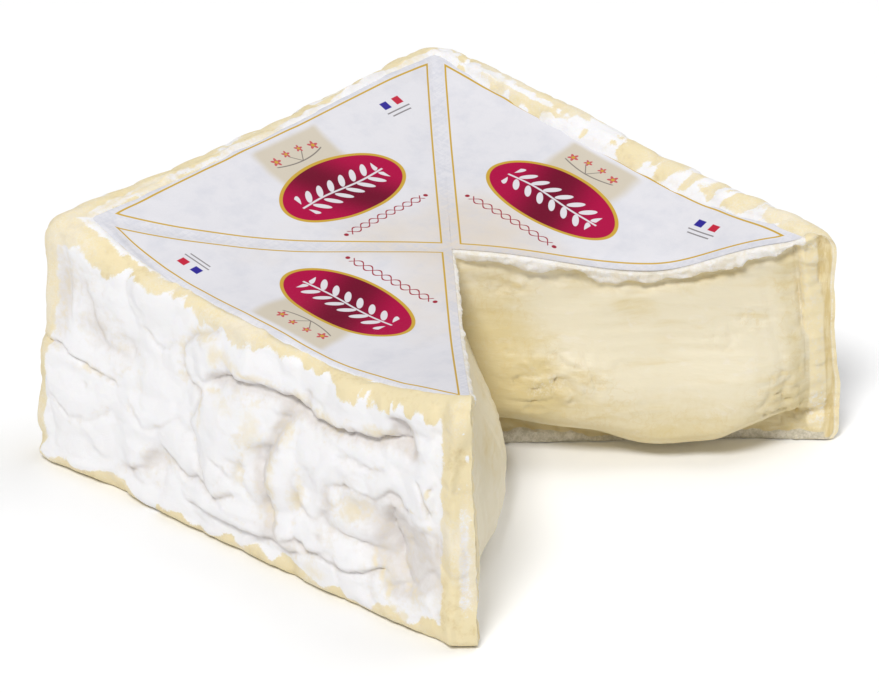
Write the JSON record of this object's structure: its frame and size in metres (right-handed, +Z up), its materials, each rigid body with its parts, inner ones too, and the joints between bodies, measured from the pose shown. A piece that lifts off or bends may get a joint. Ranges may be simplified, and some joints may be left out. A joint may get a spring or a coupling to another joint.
{
  "type": "triple cream cheese",
  "caption": "Square block of soft white-mould triple cream cheese with a paper label on top, one diagonal quarter cut out, its soft paste bulging from the cut faces",
  "frame": {"origin": "under the middle of the bounding box, on the surface the cheese lies on", "axes": "+Z up, X and Y along the square's sides, the missing quarter opens towards -Y"},
  "size_m": [0.168, 0.1638, 0.077],
  "materials": {
    "rind": "soft white mould over a cream-yellow rind, pale cream paste on the cut faces",
    "label": "thin satin paper with gold lines and dark red ovals"
  },
  "bodies": {
    "root": {"cheese": "rind", "label": "label"}
  },
  "joints": []
}
